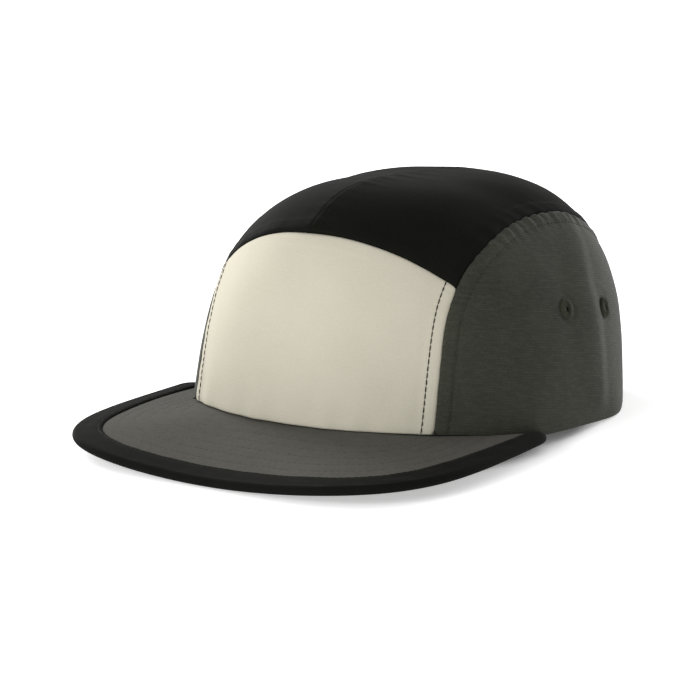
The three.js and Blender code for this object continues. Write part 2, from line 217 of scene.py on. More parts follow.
def rim_crossing(share, offset, behind):
    """Bearing at which a share of the strip's width meets the rim."""
    bearings = np.radians(np.linspace(90, 180, 1801) if behind else np.linspace(10, 90, 1601))
    rim = crown_point(bearings, 0.0)
    beyond = rim[:, 0] - share * (strip_half(rim[:, 1]) + offset)
    order = np.argsort(beyond)
    return np.interp(0.0, beyond[order], bearings[order])


corner_y = -FRONT_SEAM_CORNER
for _ in range(30):
    corner_y = float(front_seam(strip_half(corner_y)))


def strip_edge(offset, start_y, end_y):
    """Places along the strip's edge between two places along the crown, closer near both ends."""
    swing = (1 - np.cos(np.linspace(0, math.pi, EDGE_STEPS))) / 2
    y = mix(start_y, end_y, swing)
    return over(strip_half(y) + offset, y)


def grid_normals(points):
    normal = np.cross(np.gradient(points, axis=0), np.gradient(points, axis=1))
    return normal / np.maximum(np.linalg.norm(normal, axis=-1, keepdims=True), 1e-9)


def waves(points, size, seed):
    """Soft uneven waves through space, about as large as the size given, from -1 to 1."""
    rng = np.random.default_rng(seed)
    total = 0.0
    for _ in range(9):
        heading = rng.normal(size=points.shape[-1])
        heading *= 2 * math.pi / (size * rng.uniform(0.7, 1.5) * np.linalg.norm(heading))
        total = total + np.sin(points @ heading + rng.uniform(0, 2 * math.pi))
    return total / 4.5


def drape(points):
    """The slight unevenness of worn cloth, the same on both sides of a seam."""
    return 0.32 * waves(points, 62.0, 3) + 0.12 * waves(points, 23.0, 4)


def seam_roll(distance, depth=SEAM_DEPTH):
    """Cloth turned down into a seam."""
    return -depth * np.exp(-((distance / SEAM_ROLL) ** 1.3))


def allowance_relief(distance):
    """The step where the turned-in edge behind the cloth ends."""
    return ALLOWANCE_LIFT * (1 - smooth(distance, ALLOWANCE - 1.2, ALLOWANCE + 0.6))


def stitch_groove(distance, place, depth=0.24, width=0.8):
    return -depth * np.exp(-(((distance - place) / width) ** 2))


def puckers(along, distance, size, depth, reach, seed):
    """Short creases that run out of a seam and fade."""
    ripple = waves(np.stack([along, 0.15 * distance], -1), size, seed)
    return depth * ripple * np.exp(-((distance / reach) ** 1.5))


def placed(points):
    return (np.asarray(points) + [0.0, crown_middle, 0.0]) * MM


def mesh_object(name, points, faces, uv, material):
    mesh = bpy.data.meshes.new(name)
    mesh.from_pydata(placed(points).tolist(), [], [list(map(int, face)) for face in faces])
    layer = mesh.uv_layers.new(name="cloth")
    corners = np.zeros(len(mesh.loops), np.int32)
    mesh.loops.foreach_get("vertex_index", corners)
    layer.data.foreach_set("uv", (np.asarray(uv)[corners] * MM).astype(np.float32).ravel())
    mesh.materials.append(material)
    cleaner = bmesh.new()
    cleaner.from_mesh(mesh)
    bmesh.ops.remove_doubles(cleaner, verts=cleaner.verts, dist=2e-6)
    bmesh.ops.dissolve_degenerate(cleaner, edges=cleaner.edges, dist=1e-6)
    cleaner.to_mesh(mesh)
    cleaner.free()
    mesh.shade_smooth()
    piece = bpy.data.objects.new(name, mesh)
    bpy.context.scene.collection.objects.link(piece)
    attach(piece, "root")
    return piece


def shell(name, outer, inner, uv, material, keep=None):
    """A closed sheet between two grids of points, open where its squares aren't kept."""
    rows, columns = outer.shape[:2]
    if keep is None:
        keep = np.ones((rows - 1, columns - 1), bool)
    index = np.arange(rows * columns).reshape(rows, columns)
    a, b, c, d = index[:-1, :-1], index[1:, :-1], index[1:, 1:], index[:-1, 1:]
    under = rows * columns
    faces = [np.stack([a, b, c, d], -1)[keep], np.stack([a, d, c, b], -1)[keep] + under]
    framed = np.pad(keep, 1)
    for start, end, beyond in (
        (a, b, framed[1:-1, :-2]),
        (b, c, framed[2:, 1:-1]),
        (c, d, framed[1:-1, 2:]),
        (d, a, framed[:-2, 1:-1]),
    ):
        edge = keep & ~beyond
        faces.append(np.stack([end, start, start + under, end + under], -1)[edge])
    points = np.concatenate([outer.reshape(-1, 3), inner.reshape(-1, 3)])
    uv = uv.reshape(-1, 2)
    return mesh_object(name, points, np.concatenate(faces), np.concatenate([uv, uv]), material)


def cloth_shell(name, points, lift, uv, material, keep=None):
    """Cloth over the crown: lifted outside, plain inside."""
    normal = grid_normals(points)
    skin = points + normal * lift[..., None]
    back = np.minimum(lift - THINNEST_CLOTH, -CLOTH_WALL + 0.5 * np.minimum(lift, 0))
    piece = shell(name, skin, points + normal * back[..., None], uv, material, keep)
    return piece, skin, normal


def at_length(run, line, length):
    return np.array([np.interp(length, run, line[:, k]) for k in range(3)])


def stitches(name, line, normal, material, thick=THREAD, sink=0.12):
    """A row of sewn stitches along a line of points on the cloth, which go down at both ends."""
    run = lengths_along(line)
    count = int(run[-1] // STITCH_PITCH)
    middles = (np.arange(count) + 0.5) * STITCH_PITCH + (run[-1] - count * STITCH_PITCH) / 2
    points, faces = [], []
    for middle in middles:
        base = len(points)
        for place in np.linspace(-1, 1, STITCH_RINGS):
            at = middle + place * STITCH_LENGTH / 2
            spot = at_length(run, line, at)
            up = at_length(run, normal, at)
            up /= np.linalg.norm(up)
            side = np.cross(at_length(run, line, at + 0.3) - spot, up)
            side /= max(np.linalg.norm(side), 1e-9)
            radius = thick / 2 * math.sqrt(max(0.0, 1 - STITCH_TAPER * place * place))
            height = thick / 2 - sink - (thick * STITCH_SINK) * place * place
            for k in range(STITCH_SIDES):
                angle = 2 * math.pi * k / STITCH_SIDES
                raised = up * (height + radius * math.sin(angle))
                points.append(spot + raised + side * radius * math.cos(angle))
        for ring in range(STITCH_RINGS - 1):
            row = base + ring * STITCH_SIDES
            for k in range(STITCH_SIDES):
                n = (k + 1) % STITCH_SIDES
                faces.append((row + k, row + n, row + STITCH_SIDES + n, row + STITCH_SIDES + k))
        last = base + (STITCH_RINGS - 1) * STITCH_SIDES
        faces.append(tuple(base + k for k in reversed(range(STITCH_SIDES))))
        faces.append(tuple(last + k for k in range(STITCH_SIDES)))
    uv = np.zeros((len(points), 2))
    return mesh_object(name, np.array(points), faces, uv, material)


def traced(points, distance, value, axis):
    """The line of points on a grid where a distance has some value."""
    grid, far = (points, distance) if axis == 0 else (np.swapaxes(points, 0, 1), distance.T)
    line = []
    for column in range(grid.shape[1]):
        order = np.argsort(far[:, column])
        line.append(at_length(far[order, column], grid[order, column], value))
    return np.array(line)


def linear(colour):
    """An sRGB hex colour as linear red, green and blue."""
    parts = [((colour >> shift) & 255) / 255 for shift in (16, 8, 0)]
    return [
        part / 12.92 if part <= 0.04045 else ((part + 0.055) / 1.055) ** 2.4 for part in parts
    ] + [1.0]


def add_node(tree, kind, settings=None, links=None):
    made = tree.nodes.new(kind)
    for name, value in (settings or {}).items():
        if isinstance(name, int) or name in made.inputs:
            made.inputs[name].default_value = value
        else:
            setattr(made, name, value)
    for name, source in (links or {}).items():
        tree.links.new(source, made.inputs[name])
    return made


def stripe_scale(period):
    """Scale of a wave texture whose bands are this many millimetres apart."""
    return 2 * math.pi / (20 * period * MM)


def woven(
    name, low, high, patch, rib=None, cross=None, rib_depth=0.1, rib_tone_and_highlight=0.22, rib_run=None,
    rib_waver=0.9, fuzz=0.05, roughness=0.9, sheen=0.05, gloss=0.1,
):
    """Woven cloth: yarns that stand out, and a colour that varies from yarn to yarn.

    rib and cross are the yarns' spacings up and across the cloth, rib_run is how far a rib goes
    before it sinks back, and patch is how large the soft changes of tone are, all in millimetres.
    rib_waver is how unevenly the yarns run, and fuzz is how far the fibres stand out of them.
    The colour is also lighter along each yarn's crest: partly the yarn's own tone, partly a
    painted highlight.
    """
    material = bpy.data.materials.new(name)
    material.use_nodes = True
    tree = material.node_tree
    tree.nodes.clear()
    uv = add_node(tree, "ShaderNodeUVMap", {"uv_map": "cloth"}).outputs["UV"]
    place = add_node(tree, "ShaderNodeTexCoord").outputs["Object"]
    cloudy = add_node(
        tree, "ShaderNodeTexNoise", {"Scale": 1 / (patch * MM), "Detail": 4.0}, {"Vector": place}
    ).outputs["Fac"]
    grain = add_node(
        tree, "ShaderNodeTexNoise", {"Scale": 1 / (FIBRE * MM), "Detail": 3.0}, {"Vector": place}
    ).outputs["Fac"]
    height = add_node(
        tree, "ShaderNodeMath", {"operation": "MULTIPLY", 1: fuzz}, {0: grain}
    ).outputs[0]
    tone = add_node(
        tree, "ShaderNodeMath", {"operation": "MULTIPLY_ADD", 1: 0.55, 2: 0.22}, {0: cloudy}
    ).outputs[0]
    tone = add_node(
        tree, "ShaderNodeMath", {"operation": "MULTIPLY_ADD", 1: 0.5}, {0: grain, 2: tone}
    ).outputs[0]
    for spacing, direction, share in ((rib, "Y", 1.0), (cross, "X", 0.5)):
        if not spacing:
            continue
        yarn = add_node(
            tree, "ShaderNodeTexWave",
            {"bands_direction": direction, "Scale": stripe_scale(spacing), "Distortion": rib_waver,
             "Detail": 2.0, "Detail Scale": 0.12},
            {"Vector": uv},
        ).outputs["Fac"]
        if rib_run and direction == "Y":
            stretch = (1 / (rib_run * MM), 1 / (1.6 * spacing * MM), 1.0)
            along = add_node(
                tree, "ShaderNodeVectorMath", {"operation": "MULTIPLY", 1: stretch}, {0: uv}
            ).outputs[0]
            streaks = add_node(
                tree, "ShaderNodeTexNoise", {"Scale": 1.0, "Detail": 1.0}, {"Vector": along}
            ).outputs["Fac"]
            swell = add_node(
                tree, "ShaderNodeMapRange", {"From Min": 0.42, "From Max": 0.64}, {"Value": streaks}
            ).outputs["Result"]
            yarn = add_node(
                tree, "ShaderNodeMath", {"operation": "MULTIPLY"}, {0: yarn, 1: swell}
            ).outputs[0]
        height = add_node(
            tree, "ShaderNodeMath", {"operation": "MULTIPLY_ADD", 1: rib_depth * share},
            {0: yarn, 2: height},
        ).outputs[0]
        # Each yarn's crest is lighter in colour too: partly the yarn's own tone, partly a painted
        # highlight.
        tone = add_node(
            tree, "ShaderNodeMath", {"operation": "MULTIPLY_ADD", 1: rib_tone_and_highlight * share},
            {0: yarn, 2: tone},
        ).outputs[0]
    colour = add_node(tree, "ShaderNodeValToRGB", links={"Fac": tone})
    colour.color_ramp.elements[0].position = 0.42
    colour.color_ramp.elements[0].color = linear(low)
    colour.color_ramp.elements[1].position = 0.98
    colour.color_ramp.elements[1].color = linear(high)
    bump = add_node(tree, "ShaderNodeBump", {"Strength": 1.0, "Distance": MM}, {"Height": height})
    shader = add_node(
        tree, "ShaderNodeBsdfPrincipled",
        {"Roughness": roughness, "Specular IOR Level": gloss, "Sheen Weight": sheen,
         "Sheen Roughness": 0.3},
        {"Base Color": colour.outputs["Color"], "Normal": bump.outputs["Normal"]},
    )
    add_node(tree, "ShaderNodeOutputMaterial", links={"Surface": shader.outputs["BSDF"]})
    return material


# Brushed cotton: a raised nap hides the yarns, so only a faint fine grain shows
brushed_cotton = woven(
    "brushed_cotton", 0xB1AD9C, 0xBDB8A8, patch=30.0, rib=1.0, cross=1.0, rib_depth=0.015,
    rib_tone_and_highlight=0.1, fuzz=0.03,
)
# Polyester sewing thread: twisted and slightly shiny, black on every topstitched row
black_thread = woven(
    "black_thread", 0x0C0B08, 0x1D1B16, patch=4.0, fuzz=0.03, roughness=0.6, sheen=0.0
)

front_ends = rim_crossing(1.0, SEAM_LAP, False)
front_edge_bearing, front_edge_pitch = strip_edge(
    SEAM_LAP, float(crown_point(front_ends, 0.0)[1]) + EDGE_INSET, corner_y
)
corner_half = float(strip_half(corner_y)) + SEAM_LAP
corner_bearing, corner_pitch = over(corner_half, float(front_seam(corner_half)) + SEAM_LAP)
side_share = np.linspace(-1, 1, FRONT_COLUMNS + 1)[:, None]
up_share = np.linspace(0, 1, FRONT_ROWS + 1)[None, :]
top_x = corner_half * side_share
top_bearing, top_pitch = over(top_x, front_seam(top_x) + SEAM_LAP)
edge_turn = np.interp(up_share * corner_pitch, front_edge_pitch, front_edge_bearing)
front_bearing = mix(side_share, top_bearing / corner_bearing, up_share) * edge_turn
front_pitch = top_pitch * up_share
front_points = crown_point(front_bearing, front_pitch)
front_across = lengths_along(np.swapaxes(front_points, 0, 1)).T
front_up = lengths_along(front_points)
from_side = np.minimum(front_across, front_across[-1] - front_across)
from_top = front_up[:, -1:] - front_up
front_lift = drape(front_points) + seam_roll(from_side) + allowance_relief(from_side)
front_lift += seam_roll(from_top) + ALLOWANCE_LIFT_TOP * allowance_relief(from_top)
front_lift -= FOOT_TUCK * np.exp(-((front_up / FOOT_ROLL) ** 1.5))
front_lift += stitch_groove(from_side, FRONT_TOPSTITCH)
front_lift += puckers(front_across, front_up, size=10.0, depth=0.5, reach=10.0, seed=21)
front_lift += puckers(front_up, from_side, size=9.0, depth=0.16, reach=6.0, seed=22)
front_uv = np.stack([front_across - front_across[-1] / 2, front_up], -1)
front_cloth, front_skin, front_normal = cloth_shell(
    "front_cloth", front_points, front_lift, front_uv, brushed_cotton
)
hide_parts("front_panel")

half = FRONT_COLUMNS // 2
for side, columns in (("right", slice(0, half)), ("left", slice(half + 1, None))):
    row = traced(front_skin[columns], from_side[columns], FRONT_TOPSTITCH, 0)
    up = traced(front_normal[columns], from_side[columns], FRONT_TOPSTITCH, 0)
    thread = stitches(f"front_topstitch_{side}", row, up, black_thread)


# Top panels. Black cotton twill, two halves joined along the middle of the crown, from the front
# seam over the top and down behind, where each leaves half of the round-topped opening. The joined
# edges stand up inside the seam in front and make a soft ridge there.
ARCH_WIDTH = 72.0
ARCH_HEIGHT = 46.0
ARCH_PLACE = 95.0
TOP_SINK = 0.25
CENTRE_LAP = 0.5
CENTRE_LAP_FALL = 0.9
CENTRE_STEP = 0.1
CENTRE_STITCH = 3.0
CENTRE_RIDGE = 2.0
CENTRE_RIDGE_WIDTH = 13.0
CENTRE_RIDGE_FADES = 0.8
CENTRE_RIDGE_FADE = (-40.0, 20.0)
BACK_HEM_ROLL = 2.2
BACK_HEM_TUCK = 0.8
RIM_FLARE = 1.8
RIM_FLARE_HEIGHT = 14.0
RIM_FLARE_BEARING = 107.0
RIM_FLARE_WIDTH = 9.0
TOP_ROWS = 190
ARCH_COLUMNS = 30
FOOT_COLUMNS = 26

# Cotton twill: a close even weave dyed deep black, which only lightens where it turns from the eye
black_twill = woven(
    "black_twill", 0x0B0B09, 0x141411, patch=24.0, rib=1.0, cross=1.0, rib_depth=0.03,
    rib_tone_and_highlight=0.12, fuzz=0.04, sheen=0.01, gloss=0.045,
)


def rim_flare(points):
    """How far the rim behind stands out over the turned-in sweatband."""
    bearing = np.arctan2(points[..., 0] / (CROWN_WIDTH / 2), -points[..., 1] / (CROWN_LENGTH / 2))
    turned = np.degrees(np.abs(bearing))
    low = np.exp(-(((points[..., 2] - rim_height(bearing)) / RIM_FLARE_HEIGHT) ** 2))
    return RIM_FLARE * low * np.exp(-(((turned - RIM_FLARE_BEARING) / RIM_FLARE_WIDTH) ** 2))


arch_turn = np.linspace(math.pi / 2, 0.0, ARCH_COLUMNS + 1)
back_half = float(strip_half(ARCH_PLACE))
arch_shares = ARCH_WIDTH / 2 * np.cos(arch_turn) / back_half
foot_shares = np.linspace(arch_shares[-1], 1.0, FOOT_COLUMNS + 1)[1:]
centre_shares = [0.0, (CENTRE_LAP + CENTRE_STEP) / back_half]
top_shares = np.concatenate([centre_shares, arch_shares[1:], foot_shares])
top_rows = []
for share in top_shares:
    start = corner_y
    for _ in range(40):
        start = float(front_seam(share * (strip_half(start) + SEAM_LAP))) - SEAM_LAP
    end = float(crown_point(rim_crossing(share, SEAM_LAP, True), 0.0)[1])
    run = 1 - (1 - np.linspace(0, 1, EDGE_STEPS)) ** 3
    y = mix(start, end - EDGE_INSET, run)
    x = mix(-CENTRE_LAP, strip_half(y) + SEAM_LAP, share)
    bearing, pitch = over(x, y)
    line = crown_point(bearing, pitch)
    opening = ARCH_HEIGHT * np.sqrt(np.clip(1 - (line[:, 0] / (ARCH_WIDTH / 2)) ** 2, 0, 1))
    inside = (line[:, 2] < opening) & (line[:, 1] > 0)
    if inside.any():
        last = int(np.argmax(inside))
        excess = line[last - 1:last + 1, 2] - opening[last - 1:last + 1]
        part = excess[0] / (excess[0] - excess[1])
        bearing = np.append(bearing[:last], mix(bearing[last - 1], bearing[last], part))
        pitch = np.append(pitch[:last], mix(pitch[last - 1], pitch[last], part))
        line = crown_point(bearing, pitch)
    bearing, pitch = evenly(line, TOP_ROWS, bearing, pitch)
    top_rows.append(crown_point(bearing, pitch))
top_points = np.array(top_rows)
top_across = lengths_along(np.swapaxes(top_points, 0, 1)).T
from_front = lengths_along(top_points)
from_back = from_front[:, -1:] - from_front
from_centre = np.maximum(top_points[..., 0], 0.0)
from_edge = top_across[-1] - top_across
top_lift = drape(top_points) - TOP_SINK
for distance in (from_edge, from_front):
    top_lift += seam_roll(distance) + allowance_relief(distance)
ridge = CENTRE_RIDGE * (1.0 - CENTRE_RIDGE_FADES * smooth(top_points[..., 1], *CENTRE_RIDGE_FADE))
top_lift += ridge * np.exp(-from_centre / CENTRE_RIDGE_WIDTH)
top_lift += CENTRE_LAP_FALL * np.minimum(top_points[..., 0], 0.0)
top_lift -= BACK_HEM_TUCK * np.exp(-((from_back / BACK_HEM_ROLL) ** 1.5))
top_lift += rim_flare(top_points)
top_lift += puckers(from_front, from_centre, size=9.0, depth=0.2, reach=8.0, seed=31)
top_lift += puckers(from_front, from_edge, size=10.0, depth=0.2, reach=6.0, seed=32)
top_lift += puckers(top_across, from_front, size=10.0, depth=0.25, reach=7.0, seed=33)
top_uv = np.stack([top_points[..., 0], from_front], -1)
for side, sign in (("left", 1.0), ("right", -1.0)):
    half_points = top_points * [sign, 1.0, 1.0]
    order = slice(None) if sign > 0 else slice(None, None, -1)
    cloth, skin, normal = cloth_shell(
        f"top_cloth_{side}", half_points[order], top_lift[order], top_uv[order], black_twill
    )
    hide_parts(f"top_panel_{side}")
    row = traced(skin, from_centre[order], CENTRE_STITCH, 0)
    up = traced(normal, from_centre[order], CENTRE_STITCH, 0)
    thread = stitches(
        f"top_topstitch_{side}", row[2:-2], up[2:-2], black_thread, thick=0.3, sink=0.26
    )


# Side panels. Thin nylon woven with fine ribs that run level round the head. The band beside the
# arched seam is double cloth, topstitched and drawn up in short creases over the top of the arch.
# A soft fold runs up each panel behind, and the rim hangs a little lower over the peak's ends.
SIDE_COLUMNS = 280
SIDE_ROWS = 72
RIB_SPACING = 1.05
GRAIN_FALL = 0.18
EYELET_WIDTH = 9.0
EYELET_HOLE = 2.2
EYELET_BURIED = 0.7
EYELET_GROOVE = (0.6, 0.35, 1.1)
EYELETS = {"front": (84.6, 28.0), "back": (104.8, 26.1)}
SIDE_TOPSTITCH = 6.0
SIDE_TOPSTITCH_ENDS = slice(8, -8)
SIDE_HEM_ROLL = 1.2
SIDE_HEM_TUCK = 0.25
SIDE_GROOVE = (0.4, 0.9)
ARCH_TOP = (45.0, 80.0)
FOLD = 1.4
FOLD_BEARING = 96.0
FOLD_LEAN = 14.0
FOLD_LEAN_HEIGHTS = (55.0, 90.0)
FOLD_BEFORE = 14.0
FOLD_BEHIND = 7.0
FOLD_STARTS = (0.0, 16.0)
FOLD_FADES = 0.6
FOLD_FADE_HEIGHTS = (50.0, 85.0)
RIM_DROOP = 1.6
RIM_DROOP_HEIGHT = 12.0
RIM_DROOP_BEARING = 68.0
RIM_DROOP_WIDTH = 13.0

# Ribbed nylon: fine level ribs in short broken lines, each lighter in colour along its crest,
# partly a painted highlight beside the ribs' real relief. The real ribs are under a millimetre
# apart and are drawn a little coarser, so that they show
ribbed_nylon = woven(
    "ribbed_nylon", 0x242520, 0x3C3D34, patch=28.0, rib=RIB_SPACING, rib_depth=0.1, rib_tone_and_highlight=0.24,
    rib_run=5.0, rib_waver=0.25, fuzz=0.03, roughness=0.8, sheen=0.08, gloss=0.12,
)
olive_thread = woven("olive_thread", 0x272820, 0x3A3B30, patch=3.0, fuzz=0.03, roughness=0.7)

side_ends = [rim_crossing(1.0, -SEAM_LAP, False), rim_crossing(1.0, -SEAM_LAP, True)]
side_y = [float(crown_point(end, 0.0)[1]) for end in side_ends]
seam_bearing, seam_pitch = strip_edge(-SEAM_LAP, side_y[0] + EDGE_INSET, side_y[1] - EDGE_INSET)
seam_bearing, seam_pitch = evenly(
    crown_point(seam_bearing, seam_pitch), SIDE_COLUMNS, seam_bearing, seam_pitch
)
seam_pitch[[0, -1]] = 0.0
foot_bearing = np.linspace(side_ends[0], side_ends[1], SIDE_COLUMNS + 1)
up_share = np.linspace(0, 1, SIDE_ROWS + 1)[None, :]
side_bearing = mix(foot_bearing[:, None], seam_bearing[:, None], up_share)
side_pitch = seam_pitch[:, None] * up_share
side_points = crown_point(side_bearing, side_pitch)
climb = crown_point(side_bearing[..., None], side_pitch[..., None] * np.linspace(0, 1, 25))
side_height = rim_height(side_bearing) + lengths_along(climb)[..., -1]
seam_line = side_points[:, -1]
side_flat = side_points.reshape(-1, 3)
nearest = np.full(len(side_flat), 1e9)
nearest_place = np.zeros(len(side_flat))
seam_run = lengths_along(seam_line)
for k, spot in enumerate(seam_line):
    gap = np.linalg.norm(side_flat - spot, axis=1)
    closer = gap < nearest
    nearest = np.where(closer, gap, nearest)
    nearest_place = np.where(closer, seam_run[k], nearest_place)
from_seam = nearest.reshape(side_points.shape[:2])
seam_place = nearest_place.reshape(side_points.shape[:2])
from_rim = lengths_along(side_points)
side_lift = drape(side_points) + seam_roll(from_seam) + allowance_relief(from_seam)
side_lift -= SIDE_HEM_TUCK * np.exp(-((from_rim / SIDE_HEM_ROLL) ** 1.5)) * (from_seam > 0.5)
side_lift += rim_flare(side_points)
side_lift += stitch_groove(from_seam, SIDE_TOPSTITCH, *SIDE_GROOVE)
side_level = side_points[..., 2]
arch_top = smooth(side_level, *ARCH_TOP)
creases = puckers(seam_place, from_seam, size=4.6, depth=0.4, reach=6.0, seed=41)
folds = puckers(seam_place, from_seam, size=16.0, depth=0.3, reach=16.0, seed=42)
side_lift += creases * (0.15 + arch_top) + folds * (0.3 + arch_top)
turned = np.degrees(side_bearing)
past_fold = turned - FOLD_BEARING - FOLD_LEAN * smooth(side_level, *FOLD_LEAN_HEIGHTS)
fold = smooth(past_fold, -FOLD_BEFORE, 0.0) * (1 - smooth(past_fold, 0.0, FOLD_BEHIND))
fold *= smooth(side_level, *FOLD_STARTS) * (1 - FOLD_FADES * smooth(side_level, *FOLD_FADE_HEIGHTS))
side_lift += FOLD * fold
droop = np.exp(-(((turned - RIM_DROOP_BEARING) / RIM_DROOP_WIDTH) ** 2))
side_points[..., 2] -= RIM_DROOP * droop * np.exp(-((from_rim / RIM_DROOP_HEIGHT) ** 2))
grain = side_height + GRAIN_FALL * (side_points[..., 1] + CROWN_LENGTH / 2)
side_uv = np.stack([side_bearing * CROWN_WIDTH / 2, grain], -1)
squares = (side_points[:-1, :-1] + side_points[1:, 1:]) / 2
keep = np.ones(squares.shape[:2], bool)
eyelet_spots = {}
for name, angles in EYELETS.items():
    spot = crown_point(*np.radians(angles))
    eyelet_spots[name] = spot
    gap = np.linalg.norm(squares - spot, axis=-1)
    keep &= gap > EYELET_HOLE / 2 + EYELET_BURIED
    from_ring = np.linalg.norm(side_points - spot, axis=-1) - EYELET_WIDTH / 2
    side_lift += stitch_groove(from_ring, *EYELET_GROOVE)
for side, sign in (("left", 1.0), ("right", -1.0)):
    half_points = side_points * [sign, 1.0, 1.0]
    order = slice(None) if sign > 0 else slice(None, None, -1)
    cloth, skin, normal = cloth_shell(
        f"side_cloth_{side}", half_points[order], side_lift[order], side_uv[order], ribbed_nylon,
        keep[order],
    )
    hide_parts(f"side_panel_{side}")
    row = traced(skin, from_seam[order], SIDE_TOPSTITCH, 1)[SIDE_TOPSTITCH_ENDS]
    up = traced(normal, from_seam[order], SIDE_TOPSTITCH, 1)[SIDE_TOPSTITCH_ENDS]
    thread = stitches(f"side_topstitch_{side}", row, up, olive_thread, thick=0.38)


# Eyelets. Each is a punched hole bound with close satin stitches in thread of the panel's colour,
# so it stands up as a soft ring with fine ridges running out from the hole.
SATIN_THREADS = 44
RING_STEPS = SATIN_THREADS * 4
RING_RISE = 0.75
RING_RAGGED = 0.16


def sewn_ring(name, spot, normal, material):
    """A ring lathed round its hole: each place on the profile is its radius, height and ridge."""
    hole, edge = EYELET_HOLE / 2, EYELET_WIDTH / 2
    level = np.cross(normal, [0.0, 0.0, 1.0])
    level /= np.linalg.norm(level)
    upright = np.cross(level, normal)
    turn = np.linspace(0, 2 * math.pi, RING_STEPS, endpoint=False)
    thread = np.abs(np.sin(turn * SATIN_THREADS / 2))
    ragged = RING_RAGGED * waves(np.stack([np.cos(turn), np.sin(turn)], -1) * 40, 20.0, 51)
    profile = [
        (hole + 0.1, -1.2, 0.0), (hole, -0.4, 0.05), (hole + 0.1, 0.25, 0.12),
        (hole + 0.55, 0.62, 0.16), (hole + 1.4, RING_RISE, 0.18),
        (edge - 1.1, RING_RISE - 0.12, 0.18), (edge - 0.4, 0.3, 0.14), (edge, -0.15, 0.05),
        (edge - 0.5, -0.7, 0.0), (hole + 0.9, -1.2, 0.0),
    ]
    rings = []
    for radius, height, ridge in profile:
        far = radius + (ragged if radius > hole + 1.4 else 0.0)
        rise = height + ridge * (thread - 0.5)
        rings.append(
            spot + (far * np.cos(turn))[:, None] * level + (far * np.sin(turn))[:, None] * upright
            + np.broadcast_to(rise, turn.shape)[:, None] * normal
        )
    points = np.concatenate(rings)
    faces = []
    for ring in range(len(profile)):
        row, next_row = ring * RING_STEPS, (ring + 1) % len(profile) * RING_STEPS
        for k in range(RING_STEPS):
            n = (k + 1) % RING_STEPS
            faces.append((row + k, next_row + k, next_row + n, row + n))
    ring_number = np.repeat(np.arange(len(profile)), RING_STEPS)
    uv = np.stack([np.tile(turn * 3, len(profile)), ring_number], -1)
    return mesh_object(name, points, faces, uv, material)


for name, angles in EYELETS.items():
    bearing, pitch = np.radians(angles)
    step = 0.01
    round_way = crown_point(bearing + step, pitch) - crown_point(bearing - step, pitch)
    up_way = crown_point(bearing, pitch + step) - crown_point(bearing, pitch - step)
    out = np.cross(round_way, up_way)
    out /= np.linalg.norm(out)
    for side, sign in (("left", 1.0), ("right", -1.0)):
        flip = np.array([sign, 1.0, 1.0])
        ring = sewn_ring(
            f"eyelet_ring_{side}_{name}", eyelet_spots[name] * flip, out * flip, olive_thread
        )
        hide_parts(f"eyelet_{side}_{name}")


# Peak. A stiff board covered above and below with fine mottled canvas, quilted to it by rows of
# stitches that follow the outer edge. Its inner edge is sewn up inside the crown's rim, and its two
# ends turn in under the rim.
PEAK_WIDTH = 177.0
PEAK_REACH = 156.3
PEAK_WIDEST = 52.0
PEAK_SQUARENESS = 4.0
PEAK_SIDE_LENGTH = 60.0
HORN_PLACE = 30.0
BOARD_WALL = 2.0
TAPE_WALL = 1.0
SIDE_LIFT = 4.7
SIDE_LIFT_CURVE = 2.5
HORN_LEVEL_START = 88.0
HORN_TUCK_START = 93.0
HORN_TUCK = 5.0
HORN_DROP = 1.2
PEAK_CLEARANCE = 0.3
PEAK_TUCK = 4.0
PEAK_EDGE_ROUND = 1.2
PEAK_WAVE = 0.18
PEAK_COLUMNS = 260
PEAK_ROWS = 64
QUILT_ROWS = [17.0, 24.0, 31.0, 38.0, 45.0]
QUILT_GROOVE = (0.06, 0.9)
QUILT_ENDS = 6.0

# Canvas: slub yarns of two greys, which mottle the surface and leave it slightly rough
mottled_canvas = woven(
    "mottled_canvas", 0x393731, 0x4D4C46, patch=3.0, rib=1.0, cross=1.0, rib_depth=0.05, fuzz=0.1,
    roughness=0.92,
)
grey_thread = woven("grey_thread", 0x36342E, 0x47453F, patch=3.0, fuzz=0.03, roughness=0.8)

tape_stack = PEAK_CLEARANCE + TAPE_WALL
horn_turn = math.acos(-(PEAK_WIDEST - HORN_PLACE) / PEAK_SIDE_LENGTH)
rim_bearings = np.radians(np.linspace(45, 90, 901))
horn_bearing = np.interp(-HORN_PLACE, crown_point(rim_bearings, 0.0)[:, 1], rim_bearings)


def peak_edge(turn):
    front = np.cos(turn) > 0
    radius = np.where(front, super_radius(turn, PEAK_SQUARENESS), 1.0)
    reach = np.where(front, PEAK_REACH - PEAK_WIDEST - tape_stack, PEAK_SIDE_LENGTH)
    x = (PEAK_WIDTH / 2 - tape_stack) * np.sin(turn) * radius
    return np.stack([x, -PEAK_WIDEST - reach * np.cos(turn) * radius], -1)


